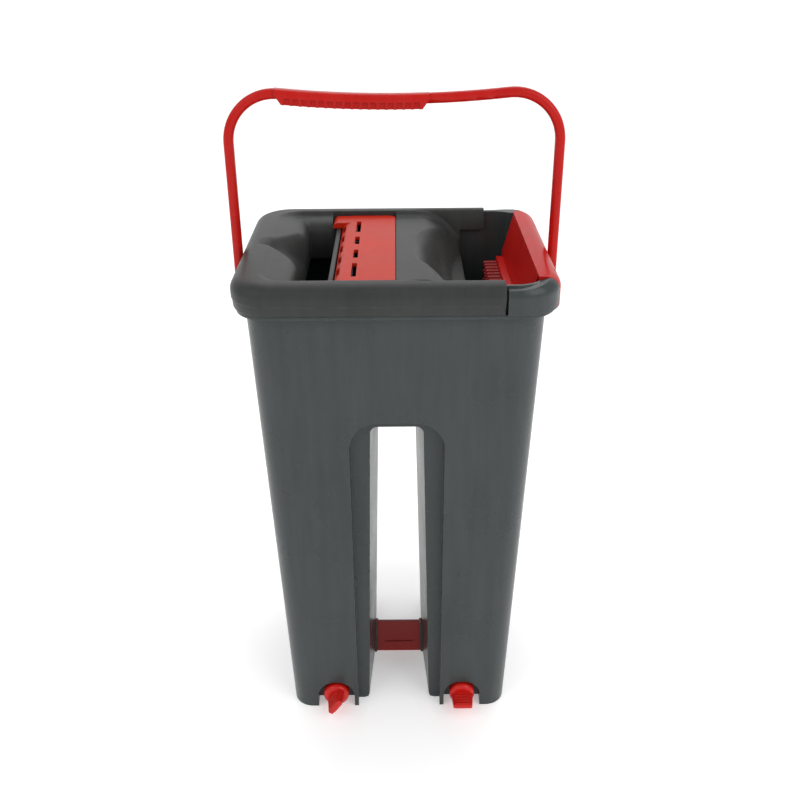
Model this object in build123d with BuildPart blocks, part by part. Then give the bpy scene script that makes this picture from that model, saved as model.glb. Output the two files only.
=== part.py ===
from build123d import *
import os
from math import cos, radians, sin, sqrt

# Flat-mop bucket on two hollow legs: a drying slot with a wringer panel on the left,
# a washing opening with a brush on the right, a bail handle over both and a drain plug
# at the foot of each leg. +X is the washing side, +Y is the back, +Z is up, and the
# origin is on the floor under the middle of the bucket. All sizes are millimetres.

# ------------------------------------------------------------------ driving dimensions
HEIGHT = 404.0                 # floor to the crest of the rim
RIM_LENGTH = 234.0             # outside of the rim, along X
RIM_DEPTH = 202.0              # outside of the rim, along Y
RIM_CORNER = 30.0
RIM_ROLL = 9.5                 # rounding of the rim's top outer edge
HOLLOW_ROLL = 5.7               # the same roll inside the skirt
SKIRT = 22.0                   # height of the skirt that hangs outside the rim
BASE_LENGTH = 187.0            # drafted body where it meets the floor
BASE_DEPTH = 155.0
BASE_CORNER = 17.0
NECK_HEIGHT = 380.0            # drafted body just under the rim
NECK_LENGTH = 216.0
NECK_DEPTH = 184.0
NECK_CORNER = 25.0
WALL = 2.5                     # every moulded wall
SEAT_GAP = 0.1                 # between a part that lifts off and what it rests on
BEYOND = 1.0                   # how far a cutter runs past the face that it opens
REACH = 130.0                  # half length of a cutter that runs right through

FLOOR_TOP = 6.0                # inside floor of the two legs
FLOOR_BOTTOM = FLOOR_TOP - WALL
BODY_TOP = HEIGHT - WALL - SEAT_GAP

TUNNEL_TOP = 284.0             # gap between the legs, waisted at the middle of the depth
TUNNEL_FOOT_HALF = 21.8
TUNNEL_CROWN_HALF = 14.8
TUNNEL_CORNER = 6.0
FOOT_ROUND = 5.0               # the gap widens at the floor
TUNNEL_FLARE = 0.07            # widening of the gap for each millimetre away from the waist

RECESS_HALF = 36.0             # shallow arched recess around the mouth of the gap
RECESS_TOP = 292.0
RECESS_CORNER = 22.0
RECESS_DEEP = 10.0

PARTITION_X = -12.0            # wall between the two chambers, above the gap
PARTITION_TOP = 368.0
PARTITION_THICK = 2.0

DRAIN_X = 55.5                 # a drain at the front foot of each leg
DRAIN_Z = 14.5
ALCOVE_HALF = 16.0
ALCOVE_SPRING = 12.0           # height where the arch of the alcove begins
ALCOVE_BACK = -65.0            # Y of the alcove's rear wall
SOCKET_RADIUS = 10.5
SOCKET_STAND = 3.0
PLUG_RADIUS = 7.0
PLUG_CLEARANCE = 0.1
BARB_RADIUS = 7.8
BARB_LONG = 2.5
HEAD_RADIUS = 11.0
HEAD_LONG = 12.0
SEAL_THICK = 1.6
SEAL_RADIUS = 9.8
GRIP_WIDE = 19.0
GRIP_THICK = 7.0
GRIP_LONG = 14.5
GRIP_RIDGES = 4
LEFT_PLUG_TURN = 55.0          # the left plug stands part way through its quarter turn

PIVOT_Z = 366.0                # bail handle
ARM_X = 121.75
ARM_TOP = 479.5
SHOULDER = 35.0
SHOULDER_TURN = 95.6           # the top of the bail sags a little between its shoulders
BAIL_WIDE = 7.5
BAIL_DEEP = 7.4
BAIL_EDGE = 3.2
EYE_RADIUS = 10.0
STUD_RADIUS = 4.9
STUD_HOLE = 5.0
STUD_DEPTH = 9.5
BOSS_RADIUS = 9.0
BOSS_END = 116.9
BOSS_LONG = 12.5
GRIP_LEFT = -86.0
GRIP_RIGHT = 25.5
GRIP_DEEP = 11.0
GRIP_ABOVE = 3.8
GRIP_BELOW = 6.8
GRIP_CROWN = 3.4
GRIP_BEVEL = 5.0
FINGER_PITCH = 6.2
FINGER_WIDE = 4.0
FINGER_HIGH = 5.0
FINGER_DEEP = 1.3
FINGER_DROP = 4.6
FINGER_COUNT = 16

SLIT_X = 76.5                  # where the cover ends and the bucket's own rim shows
SLIT_WIDE = 1.6
COVER_END = SLIT_X - SLIT_WIDE / 2
CORNER_START = SLIT_X + SLIT_WIDE / 2
LIP_TOP = HEIGHT - SKIRT - 0.3 # thin lip of the bucket below the skirts
LIP_FOOT = LIP_TOP - 3.0
LIP_INSET = 3.0
UPSTAND_CLEARANCE = 0.3        # between the body's wall and the channels that cover it
LIFT_ROOM = 1.0                # the same outside the wall, so that the cover lifts past the draft
DIP_RADIUS = 110.0             # shallow dip in the bucket's own rim, beside the slit
DIP_X = 80.0
DIP_DEEP = 4.0

MOUTH_LENGTH = 198.0           # opening inside the cover's rim
MOUTH_DEPTH = 173.0
MOUTH_CORNER = 22.0
MOUTH_ROLL = 4.0
DECK_TOP = HEIGHT - 4.0
FUNNEL_FOOT = HEIGHT - 30.0
SLOT_LEFT = -69.5              # drying slot
SLOT_RIGHT = -48.5
SLOT_BACK = 66.0
SLOT_FRONT = -79.0
SLOT_ROLL = 6.0
SLOPE_LEFT = -106.0            # the deck slopes down from here to the drying slot
SLOPE_TOP = HEIGHT - 0.3       # just under the crest, so that the rim's edge shows
SLOPE_RIGHT = -78.0
SHOULDER_X = 22.0              # rounded shoulder down into the washing opening
SHOULDER_ROLL = 33.0
LEDGE_TOP = HEIGHT - 9.0       # ledge between the drying slot and the wringer panel
TROUGH_FLOOR = FUNNEL_FOOT + WALL

PANEL_LEFT = -44.5             # wringer panel
PANEL_RIGHT = 0.0
PANEL_THICK = 3.0
PANEL_HALF = 85.0
PANEL_NOSE = 8.5
PANEL_APRON = HEIGHT - 24.0
PANEL_CORNER = 7.0
PANEL_GAP = 0.5
SEAT_TOP = DECK_TOP - PANEL_THICK
SEAT_WINDOW = (-31.0, -8.0)    # openings in the seat under the panel
WINDOW_PITCH = 46.0
WINDOW_HALF = 21.0
TROUGH_HOLE_PITCH = 32.0       # openings in the trough's floor
TROUGH_HOLE_HALF = 11.0
NOSE_HOLE_PITCH = 26.0         # drain holes in the panel's rounded nose
NOSE_HOLE_LONG = 15.0
NOSE_HOLE_WIDE = 4.2
DRAIN_HOLE_WIDE = 3.6
PILOT_SKIN = 0.8               # plastic left above a screw's pilot hole
SCREW_SHORT = 1.0              # how far a screw's tip stays under the panel's face
SCREW_CHAMFER = 0.6
EAR_LEFT = -52.0
EAR_START = 64.0
EAR_ROLL = 4.8
STRIP_LEFT = -51.5         # soft wiping strip under the drying slot
STRIP_THICK = 2.5
STRIP_FALL = 1.7               # how far the strip's free edge droops

HOLDER_EDGE = 100.0            # brush holder over the right end of the rim
HOLDER_HALF = 82.0
HOLDER_GAP = 0.5
HOLDER_WALL_X = 91.0
HOLDER_KNEE = HEIGHT - 34.0
HOLDER_FOOT = HEIGHT - 66.0
HOLDER_REACH = 76.0
HOLDER_CLEARANCE = 0.6
CHEEK_RISE = 12.0              # end cheeks of the holder, cut off above its foot
CHEEK_TOP = 6.0
FINGER_NOTCHES = [(RIM_LENGTH / 2 + 0.5, 46.0), (RIM_LENGTH / 2 + 0.5, -62.0)]
FINGER_NOTCH_RADIUS = 4.5
BRUSH_THICK = 6.0
BRUSH_HALF = 66.0
BRUSH_FOOT = HEIGHT - 64.0
TUFT_RADIUS = 1.6
TUFT_LONG = 11.0
TUFT_PITCH = 7.4
TUFT_COUNT = 17
TUFT_ROWS = 4
TUFT_DROP = 4.0                # first row below the top of the brush plate

TIE_TOP = 36.5                 # plate between the feet of the legs
TIE_FOOT = 1.0
TIE_FRONT = -8.0
TIE_THICK = 2.6
TIE_CLEARANCE = 0.15
TIE_RIB_STAND = 2.0            # ribs in front of the plate and behind it
TIE_RIB_THICK = 1.8
TIE_BEAD_Z = 12.0
TIE_BEAD = 0.8

SCREW_RADIUS = 1.45
SCREW_HOLE = 1.5
SCREW_HEAD = 3.2
SCREW_HEAD_HIGH = 2.0
SCREW_SPOTS = [(x, side * 72.0) for x in (-28.0, -4.5) for side in (-1, 1)]
BRUSH_SCREW_SPOTS = [(side * 45.0, BRUSH_FOOT + 15.0) for side in (-1, 1)]


def body_block(inset, z_low, z_high):
    """The drafted body between two heights, set in all round by inset."""
    with BuildPart() as block:
        for height in (z_low, z_high):
            share = height / NECK_HEIGHT
            length = BASE_LENGTH + (NECK_LENGTH - BASE_LENGTH) * share - 2 * inset
            depth = BASE_DEPTH + (NECK_DEPTH - BASE_DEPTH) * share - 2 * inset
            corner = BASE_CORNER + (NECK_CORNER - BASE_CORNER) * share - inset
            with BuildSketch(Plane.XY.offset(height)):
                RectangleRounded(length, depth, corner)
        loft()
    return block.part


def plan_block(length, depth, corner, z_low, z_high):
    """An upright block with a rounded rectangular plan."""
    with BuildPart() as block:
        with BuildSketch(Plane.XY.offset(z_low)):
            RectangleRounded(length, depth, corner)
        extrude(amount=z_high - z_low)
    return block.part


def plain_box(x_range, y_range, z_range):
    """A box given by its lowest and highest X, Y and Z."""
    with BuildPart() as block:
        with BuildSketch(Plane.XY.offset(z_range[0])):
            with Locations(((x_range[0] + x_range[1]) / 2, (y_range[0] + y_range[1]) / 2)):
                Rectangle(x_range[1] - x_range[0], y_range[1] - y_range[0])
        extrude(amount=z_range[1] - z_range[0])
    return block.part


def side_profile(points, y_low, y_high):
    """A polygon drawn in X and Z, pushed from y_low to y_high."""
    with BuildPart() as block:
        with BuildSketch(Plane.XZ.offset(-y_high)):
            with BuildLine():
                Polyline(*points, close=True)
            make_face()
        extrude(amount=y_high - y_low)
    return block.part


# ------------------------------------------------------------------ shapes that shape the body
def arched_prism(center_x, half_width, spring, corner, reach_front, reach_back):
    """An upright opening with a rounded head, running along Y."""
    head = spring + corner
    with BuildPart() as prism:
        with BuildSketch(Plane.XZ.offset(reach_front)) as outline:
            with Locations((center_x, (head - BEYOND) / 2)):
                Rectangle(2 * half_width, head + BEYOND)
            fillet(outline.vertices().group_by(Axis.Y)[-1], corner * 0.999)
        extrude(amount=-(reach_front + reach_back))
    return prism.part


def leg_gap(grow):
    """The waisted gap between the legs, drafted both upwards and towards its waist."""
    crown = TUNNEL_TOP + grow
    with BuildPart() as gap:
        for side in (-1, 1):
            for distance in (0, REACH):
                spread = TUNNEL_FLARE * distance + grow
                foot = TUNNEL_FOOT_HALF + spread
                head = TUNNEL_CROWN_HALF + spread
                with BuildSketch(Plane.XZ.offset(side * distance)) as section:
                    with BuildLine():
                        right = [(foot + FOOT_ROUND, -2 * WALL), (foot + FOOT_ROUND, grow),
                                 (foot + FOOT_ROUND / 4, FOOT_ROUND / 4 + grow), (foot, FOOT_ROUND + grow)]
                        left = [(-x, z) for x, z in reversed(right)]
                        Polyline(*left, *right, (head, crown), (-head, crown), close=True)
                    make_face()
                    fillet(section.vertices().group_by(Axis.Y)[-1], TUNNEL_CORNER + grow)
            loft()
    return gap.part


def mouth_recess(grow):
    """The recess around both mouths of the gap, parallel to the outside of the body."""
    arch = arched_prism(0, RECESS_HALF + grow, RECESS_TOP - RECESS_CORNER, RECESS_CORNER + grow, REACH, REACH)
    core = body_block(RECESS_DEEP + grow, -2 * BEYOND, BODY_TOP)
    with BuildPart() as recess:
        add(arch)
        add(core, mode=Mode.SUBTRACT)
    return recess.part


def drain_alcove(side, grow):
    """The arched pocket in the front skirt that a drain plug stands in."""
    return arched_prism(
        side * DRAIN_X, ALCOVE_HALF + grow, ALCOVE_SPRING, ALCOVE_HALF + grow, REACH, ALCOVE_BACK + grow
    )


def kept_inside(solid, boundary):
    """The part of a solid that lies inside a boundary solid."""
    with BuildPart() as common:
        add(solid)
        add(boundary, mode=Mode.INTERSECT)
    return common.part


# ------------------------------------------------------------------ rim shapes
def rim_block(skirt):
    """The full outside of the rim with its rolled top edge."""
    with BuildPart() as block:
        with BuildSketch(Plane.XY.offset(HEIGHT - skirt)):
            RectangleRounded(RIM_LENGTH, RIM_DEPTH, RIM_CORNER)
        extrude(amount=skirt)
        fillet(block.faces().sort_by(Axis.Z)[-1].edges(), RIM_ROLL)
    return block.part


def rim_hollow(top, inner):
    """The hollow of the rim's channel, between its outer skirt and an inner solid."""
    low = HEIGHT - SKIRT - 6 * BEYOND
    with BuildPart() as hollow:
        with BuildSketch(Plane.XY.offset(low)):
            RectangleRounded(RIM_LENGTH - 2 * WALL, RIM_DEPTH - 2 * WALL, RIM_CORNER - WALL)
        extrude(amount=top - low)
        fillet(hollow.faces().sort_by(Axis.Z)[-1].edges(), HOLLOW_ROLL)
        add(inner, mode=Mode.SUBTRACT)
    return hollow.part


# ------------------------------------------------------------------ bucket
outside = body_block(0, 0, BODY_TOP)
chamber = body_block(WALL, FLOOR_TOP, BODY_TOP + BEYOND)
underside = body_block(WALL, -BEYOND, FLOOR_BOTTOM)
gap_void = leg_gap(0)
recess_void = mouth_recess(0)
gap_lining = kept_inside(leg_gap(WALL), outside)
recess_lining = kept_inside(mouth_recess(WALL), outside)
partition = kept_inside(
    plain_box(
        (PARTITION_X - PARTITION_THICK / 2, PARTITION_X + PARTITION_THICK / 2),
        (-REACH, REACH),
        (TUNNEL_TOP, PARTITION_TOP),
    ),
    outside,
)

# The bucket's own rim shows at the two right-hand corners, between cover and brush holder.
with BuildPart() as corner_zone:
    for side in (-1, 1):
        ends = sorted((side * (HOLDER_HALF + HOLDER_GAP), side * REACH))
        add(plain_box((CORNER_START, REACH), ends, (LIP_FOOT - BEYOND, HEIGHT + BEYOND)))
with BuildPart() as channel_zone:
    for side in (-1, 1):
        ends = sorted((side * (HOLDER_HALF + HOLDER_GAP + WALL), side * REACH))
        add(plain_box((CORNER_START + WALL, REACH), ends, (LIP_TOP, HEIGHT)))
corner_hollow = rim_hollow(HEIGHT - WALL - DIP_DEEP, outside)
with BuildPart() as exposed_rim:
    add(rim_block(SKIRT))
    add(body_block(WALL, LIP_FOOT - BEYOND, HEIGHT + BEYOND), mode=Mode.SUBTRACT)
    add(kept_inside(corner_hollow, channel_zone.part), mode=Mode.SUBTRACT)
    with BuildSketch(Plane.XZ.offset(-REACH)):
        with Locations((DIP_X, HEIGHT - DIP_DEEP + DIP_RADIUS)):
            Circle(DIP_RADIUS)
    extrude(amount=2 * REACH, mode=Mode.SUBTRACT)
    add(corner_zone.part, mode=Mode.INTERSECT)

# A thin lip runs all round the body under the skirts of the cover and the brush holder.
with BuildPart() as rim_lip:
    add(plan_block(RIM_LENGTH - 2 * LIP_INSET, RIM_DEPTH - 2 * LIP_INSET, RIM_CORNER - LIP_INSET,
                   LIP_FOOT, LIP_TOP))
    add(body_block(WALL / 2, LIP_FOOT - BEYOND, LIP_TOP + BEYOND), mode=Mode.SUBTRACT)

# Upright ribs near the waist of the gap hold the leg tie between them.
with BuildPart() as tie_ribs:
    for front in (TIE_FRONT - TIE_CLEARANCE - TIE_RIB_THICK, TIE_FRONT + TIE_THICK + TIE_CLEARANCE):
        add(plain_box((-REACH, REACH), (front, front + TIE_RIB_THICK), (TIE_FOOT, TIE_TOP)))
    add(leg_gap(WALL / 2), mode=Mode.INTERSECT)
    add(leg_gap(-TIE_RIB_STAND), mode=Mode.SUBTRACT)

with BuildPart() as bucket:
    add(outside)
    add(chamber, mode=Mode.SUBTRACT)
    add(underside, mode=Mode.SUBTRACT)
    add(gap_lining)
    add(recess_lining)
    add(partition)
    for side in (-1, 1):
        add(kept_inside(drain_alcove(side, WALL), outside))
    add(gap_void, mode=Mode.SUBTRACT)
    add(recess_void, mode=Mode.SUBTRACT)
    for side in (-1, 1):
        add(drain_alcove(side, 0), mode=Mode.SUBTRACT)
    # sockets for the drain plugs
    with BuildSketch(Plane.XZ.offset(-ALCOVE_BACK)):
        with Locations((-DRAIN_X, DRAIN_Z), (DRAIN_X, DRAIN_Z)):
            Circle(SOCKET_RADIUS)
    extrude(amount=SOCKET_STAND)
    with BuildSketch(Plane.XZ.offset(-ALCOVE_BACK + SOCKET_STAND + BEYOND)):
        with Locations((-DRAIN_X, DRAIN_Z), (DRAIN_X, DRAIN_Z)):
            Circle(PLUG_RADIUS + PLUG_CLEARANCE)
    extrude(amount=-(SOCKET_STAND + WALL + 2 * BEYOND), mode=Mode.SUBTRACT)
    # bosses that the studs of the bail handle turn in
    for side in (-1, 1):
        with BuildSketch(Plane.YZ.offset(side * BOSS_END)):
            with Locations((0, PIVOT_Z)):
                Circle(BOSS_RADIUS)
        extrude(amount=-side * BOSS_LONG)
        with BuildSketch(Plane.YZ.offset(side * (BOSS_END + BEYOND))):
            with Locations((0, PIVOT_Z)):
                Circle(STUD_HOLE)
        extrude(amount=-side * (STUD_DEPTH + BEYOND), mode=Mode.SUBTRACT)
    add(tie_ribs.part)
    add(rim_lip.part)
    add(exposed_rim.part)
bucket.part.label = "bucket"


# ------------------------------------------------------------------ cover
def half_plan(points, grow):
    """A plan outline that is the same on both sides of the X axis, open to the right."""
    tip = (points[0][0] - grow, 0)
    flank = [(x, half + grow) for x, half in points[1:]]
    leaving = (points[-1][0] - points[-2][0], points[-1][1] - points[-2][1])
    with BuildSketch() as outline:
        with BuildLine():
            curve = Spline(tip, *flank, tangents=[(0, 1), leaving])
            Line(curve @ 1, (points[-1][0], 0))
            mirror(about=Plane.XZ)
        make_face()
    return outline.sketch


def thumb_notch(points, ramp, grow):
    """A notch for the mop's joint, with a ramp for a floor, let into the edge of an opening."""
    outline = half_plan(points, grow)
    start = (ramp[0][0] - SHOULDER, ramp[0][1] - grow)
    end = (ramp[-1][0] + SHOULDER, FUNNEL_FOOT - grow)
    with BuildPart() as notch:
        with BuildSketch(Plane.XY.offset(FUNNEL_FOOT - 4 * WALL)):
            add(outline)
        extrude(amount=HEIGHT)
        with BuildSketch(Plane.XZ.offset(-REACH)):
            with BuildLine():
                floor = Spline(*[(x, z - grow) for x, z in ramp])
                Polyline(floor @ 1, end, (end[0], 0), (start[0], 0), start, floor @ 0)
            make_face()
        extrude(amount=2 * REACH, mode=Mode.SUBTRACT)
    return notch.part


LEFT_NOTCH = [(-103.0, 0.0), (-96.0, 11.0), (-83.0, 24.0), (-66.0, 45.0)]
LEFT_RAMP = [(-104.0, HEIGHT - 6.0), (-92.0, HEIGHT - 10.0), (-82.0, HEIGHT - 20.0), (-78.0, FUNNEL_FOOT)]
RIGHT_NOTCH = [(12.0, 0.0), (17.0, 20.0), (28.0, 40.0), (58.0, 78.0)]
RIGHT_RAMP = [(10.0, HEIGHT - 6.0), (28.0, HEIGHT - 10.0), (44.0, HEIGHT - 19.0), (52.0, FUNNEL_FOOT)]
deck_half = MOUTH_DEPTH / 2 + BEYOND
seat_right = PANEL_RIGHT + PANEL_GAP

with BuildPart() as left_deck:
    with BuildSketch(Plane.XZ.offset(-deck_half)):
        with BuildLine():
            Polyline((SLOPE_LEFT, SLOPE_TOP), (SLOPE_RIGHT, DECK_TOP), (SLOT_LEFT - SLOT_ROLL, DECK_TOP))
            CenterArc((SLOT_LEFT - SLOT_ROLL, DECK_TOP - SLOT_ROLL), SLOT_ROLL, 0, 90)
            Polyline((SLOT_LEFT, DECK_TOP - SLOT_ROLL), (SLOT_LEFT, FUNNEL_FOOT),
                     (SLOT_LEFT - WALL, FUNNEL_FOOT), (SLOT_LEFT - WALL, DECK_TOP - SLOT_ROLL))
            CenterArc((SLOT_LEFT - SLOT_ROLL, DECK_TOP - SLOT_ROLL), SLOT_ROLL - WALL, 0, 90)
            Polyline((SLOT_LEFT - SLOT_ROLL, DECK_TOP - WALL), (SLOPE_RIGHT, DECK_TOP - WALL),
                     (SLOPE_LEFT, SLOPE_TOP - WALL), (SLOPE_LEFT, SLOPE_TOP))
        make_face()
    extrude(amount=2 * deck_half)

with BuildPart() as right_deck:
    with BuildSketch(Plane.XZ.offset(-deck_half)):
        with BuildLine():
            Line((seat_right, DECK_TOP), (SHOULDER_X, DECK_TOP))
            CenterArc((SHOULDER_X, DECK_TOP - SHOULDER_ROLL), SHOULDER_ROLL, 0, 90)
            Line((SHOULDER_X + SHOULDER_ROLL, DECK_TOP - SHOULDER_ROLL),
                 (SHOULDER_X + SHOULDER_ROLL - WALL, DECK_TOP - SHOULDER_ROLL))
            CenterArc((SHOULDER_X, DECK_TOP - SHOULDER_ROLL), SHOULDER_ROLL - WALL, 0, 90)
            Polyline((SHOULDER_X, DECK_TOP - WALL), (seat_right + WALL, DECK_TOP - WALL),
                     (seat_right + WALL, SEAT_TOP - WALL), (seat_right, SEAT_TOP - WALL),
                     (seat_right, DECK_TOP))
        make_face()
    extrude(amount=2 * deck_half)

# Solids that fill the space below each deck, to trim the linings of the notches.
left_fill = side_profile(
    [(SLOPE_LEFT, SLOPE_TOP), (SLOPE_RIGHT, DECK_TOP), (SLOT_LEFT - SLOT_ROLL, DECK_TOP),
     (SLOT_LEFT, DECK_TOP - SLOT_ROLL), (SLOT_LEFT, FUNNEL_FOOT), (SLOPE_LEFT, FUNNEL_FOOT)],
    -deck_half, deck_half,
)
with BuildPart() as right_fill:
    with BuildSketch(Plane.XZ.offset(-deck_half)):
        with BuildLine():
            Polyline((SHOULDER_X + SHOULDER_ROLL, DECK_TOP - SHOULDER_ROLL),
                     (seat_right + WALL, DECK_TOP - SHOULDER_ROLL), (seat_right + WALL, DECK_TOP),
                     (SHOULDER_X, DECK_TOP))
            CenterArc((SHOULDER_X, DECK_TOP - SHOULDER_ROLL), SHOULDER_ROLL, 0, 90)
        make_face()
    extrude(amount=2 * deck_half)

trough_right = PANEL_LEFT + PANEL_NOSE
across = (-deck_half, deck_half)
with BuildPart() as wringer_seat:
    # flat seat under the panel, open in the middle so that water falls through
    add(plain_box((trough_right, seat_right + WALL), across, (SEAT_TOP - WALL, SEAT_TOP)))
    for row in (-1, 0, 1):
        ends = (row * WINDOW_PITCH - WINDOW_HALF, row * WINDOW_PITCH + WINDOW_HALF)
        add(plain_box(SEAT_WINDOW, ends, (0, HEIGHT)), mode=Mode.SUBTRACT)
    # trough that the panel's apron hangs in
    add(plain_box((SLOT_RIGHT, SLOT_RIGHT + WALL), across, (FUNNEL_FOOT, LEDGE_TOP)))
    add(plain_box((SLOT_RIGHT, PANEL_LEFT - PANEL_GAP), across, (LEDGE_TOP - WALL, LEDGE_TOP)))
    add(plain_box((trough_right, trough_right + WALL), across, (FUNNEL_FOOT, SEAT_TOP)))
    add(plain_box((SLOT_RIGHT, trough_right + WALL), across, (FUNNEL_FOOT, TROUGH_FLOOR)))
    for row in range(-2, 3):
        ends = (row * TROUGH_HOLE_PITCH - TROUGH_HOLE_HALF, row * TROUGH_HOLE_PITCH + TROUGH_HOLE_HALF)
        add(plain_box((SLOT_RIGHT + WALL, trough_right), ends, (0, TROUGH_FLOOR)), mode=Mode.SUBTRACT)

mouth = plan_block(MOUTH_LENGTH, MOUTH_DEPTH, MOUTH_CORNER, 0, HEIGHT + BEYOND)
cover_zone = plain_box((-REACH, COVER_END), (-REACH, REACH), (0, HEIGHT + BEYOND))
cover_channel_zone = plain_box((-REACH, COVER_END - WALL), (-REACH, REACH), (0, HEIGHT))
inner_skirt = plan_block(MOUTH_LENGTH + 2 * WALL, MOUTH_DEPTH + 2 * WALL, MOUTH_CORNER + WALL, 0, HEIGHT)
slope_cut = side_profile(
    [(SLOPE_LEFT - 3, HEIGHT + 0.25), (SLOPE_RIGHT, DECK_TOP), (SLOPE_RIGHT, HEIGHT + 2 * WALL),
     (SLOPE_LEFT - 3, HEIGHT + 2 * WALL)],
    -MOUTH_DEPTH / 2, MOUTH_DEPTH / 2,
)

with BuildPart() as wall_room:
    add(body_block(-LIFT_ROOM, LIP_FOOT, HEIGHT - WALL))
    add(body_block(WALL + UPSTAND_CLEARANCE, LIP_FOOT - BEYOND, HEIGHT), mode=Mode.SUBTRACT)

with BuildPart() as cover:
    add(rim_block(SKIRT))
    add(mouth, mode=Mode.SUBTRACT)
    fillet(cover.faces().filter_by(Plane.XY).sort_by(Axis.Z)[-1].inner_wires().edges(), MOUTH_ROLL)
    add(kept_inside(rim_hollow(HEIGHT - WALL, inner_skirt), cover_channel_zone), mode=Mode.SUBTRACT)
    add(slope_cut, mode=Mode.SUBTRACT)
    add(kept_inside(left_deck.part, inner_skirt))
    add(kept_inside(right_deck.part, inner_skirt))
    add(kept_inside(wringer_seat.part, inner_skirt))
    # both ends of the drying slot
    for ends in ((SLOT_BACK, deck_half), (-deck_half, SLOT_FRONT)):
        add(plain_box((SLOT_LEFT - SLOT_ROLL, SLOT_RIGHT + WALL), ends, (DECK_TOP - WALL, DECK_TOP)))
    add(plain_box((SLOT_LEFT - WALL, SLOT_RIGHT), (SLOT_BACK, SLOT_BACK + WALL), (FUNNEL_FOOT, DECK_TOP)))
    add(plain_box((SLOT_LEFT - WALL, SLOT_RIGHT), (SLOT_FRONT - WALL, SLOT_FRONT), (FUNNEL_FOOT, DECK_TOP)))
    # pocket that the panel's ear lies in, and its floor
    add(plain_box((EAR_LEFT - PANEL_GAP, PANEL_LEFT), (EAR_START - PANEL_GAP, PANEL_HALF + PANEL_GAP),
                  (LEDGE_TOP, HEIGHT)), mode=Mode.SUBTRACT)
    add(plain_box((EAR_LEFT - PANEL_GAP - WALL, SLOT_RIGHT + WALL), (SLOT_BACK, deck_half),
                  (LEDGE_TOP - WALL, LEDGE_TOP)))
    # linings of the two notches, then the notches themselves
    add(kept_inside(kept_inside(thumb_notch(LEFT_NOTCH, LEFT_RAMP, WALL), left_fill), inner_skirt))
    add(kept_inside(kept_inside(thumb_notch(RIGHT_NOTCH, RIGHT_RAMP, WALL), right_fill.part), inner_skirt))
    add(thumb_notch(LEFT_NOTCH, LEFT_RAMP, 0), mode=Mode.SUBTRACT)
    add(thumb_notch(RIGHT_NOTCH, RIGHT_RAMP, 0), mode=Mode.SUBTRACT)
    add(cover_zone, mode=Mode.INTERSECT)
    add(wall_room.part, mode=Mode.SUBTRACT)
    # screw holes under the wringer panel
    with BuildSketch(Plane.XY.offset(SEAT_TOP + BEYOND)):
        with Locations(*SCREW_SPOTS):
            Circle(SCREW_HOLE)
    extrude(amount=-(WALL + 2 * BEYOND), mode=Mode.SUBTRACT)
cover.part.label = "cover"

# ------------------------------------------------------------------ wringer panel and its fittings
drain_rows = [(-30.0, 53.0, 29.0), (-30.0, 16.5, 19.0), (-30.0, -16.5, 19.0), (-30.0, -53.0, 29.0)]
nose_center = (PANEL_LEFT + PANEL_NOSE, DECK_TOP - PANEL_NOSE)
with BuildPart() as wringer_panel:
    with BuildSketch(Plane.XZ.offset(-PANEL_HALF)):
        with BuildLine():
            Line((PANEL_RIGHT, DECK_TOP), (nose_center[0], DECK_TOP))
            CenterArc(nose_center, PANEL_NOSE, 90, 90)
            Polyline((PANEL_LEFT, nose_center[1]), (PANEL_LEFT, PANEL_APRON),
                     (PANEL_LEFT + PANEL_THICK, PANEL_APRON), (PANEL_LEFT + PANEL_THICK, nose_center[1]))
            CenterArc(nose_center, PANEL_NOSE - PANEL_THICK, 90, 90)
            Polyline((nose_center[0], SEAT_TOP), (PANEL_RIGHT, SEAT_TOP), (PANEL_RIGHT, DECK_TOP))
        make_face()
    extrude(amount=2 * PANEL_HALF)
    # rounded corners on the side away from the slot
    fillet(wringer_panel.edges().filter_by(Axis.Z).group_by(Axis.X)[-1], PANEL_CORNER)
    # ear that laps over the back end of the slot
    with BuildSketch(Plane.XZ.offset(-EAR_START)):
        with BuildLine():
            Line((nose_center[0], DECK_TOP), (EAR_LEFT + EAR_ROLL, DECK_TOP))
            CenterArc((EAR_LEFT + EAR_ROLL, DECK_TOP - EAR_ROLL), EAR_ROLL, 90, 90)
            Polyline((EAR_LEFT, DECK_TOP - EAR_ROLL), (PANEL_LEFT + PANEL_THICK, DECK_TOP - EAR_ROLL),
                     (nose_center[0], SEAT_TOP), (nose_center[0], DECK_TOP))
        make_face()
    extrude(amount=-(PANEL_HALF - BEYOND - EAR_START))
    # drain holes in the flat and in the nose
    for x, y, long in drain_rows:
        with BuildSketch(Plane.XY.offset(DECK_TOP + BEYOND)):
            with Locations((x, y)):
                Rectangle(DRAIN_HOLE_WIDE, long)
        extrude(amount=-(PANEL_THICK + 2 * BEYOND), mode=Mode.SUBTRACT)
    for row in range(-2, 3):
        hole_center = (nose_center[0], row * NOSE_HOLE_PITCH, nose_center[1])
        hole_plane = Plane(origin=hole_center, x_dir=(0, 1, 0), z_dir=(-1, 0, 0.9))
        with BuildSketch(hole_plane.offset(PANEL_NOSE + BEYOND)):
            Rectangle(NOSE_HOLE_LONG, NOSE_HOLE_WIDE)
        extrude(amount=-(PANEL_THICK + 3 * BEYOND), mode=Mode.SUBTRACT)
    # blind pilot holes for the screws, from below
    with BuildSketch(Plane.XY.offset(SEAT_TOP)):
        with Locations(*SCREW_SPOTS):
            Circle(SCREW_HOLE)
    extrude(amount=PANEL_THICK - PILOT_SKIN, mode=Mode.SUBTRACT)
wringer_panel.part.label = "wringer_panel"

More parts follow.
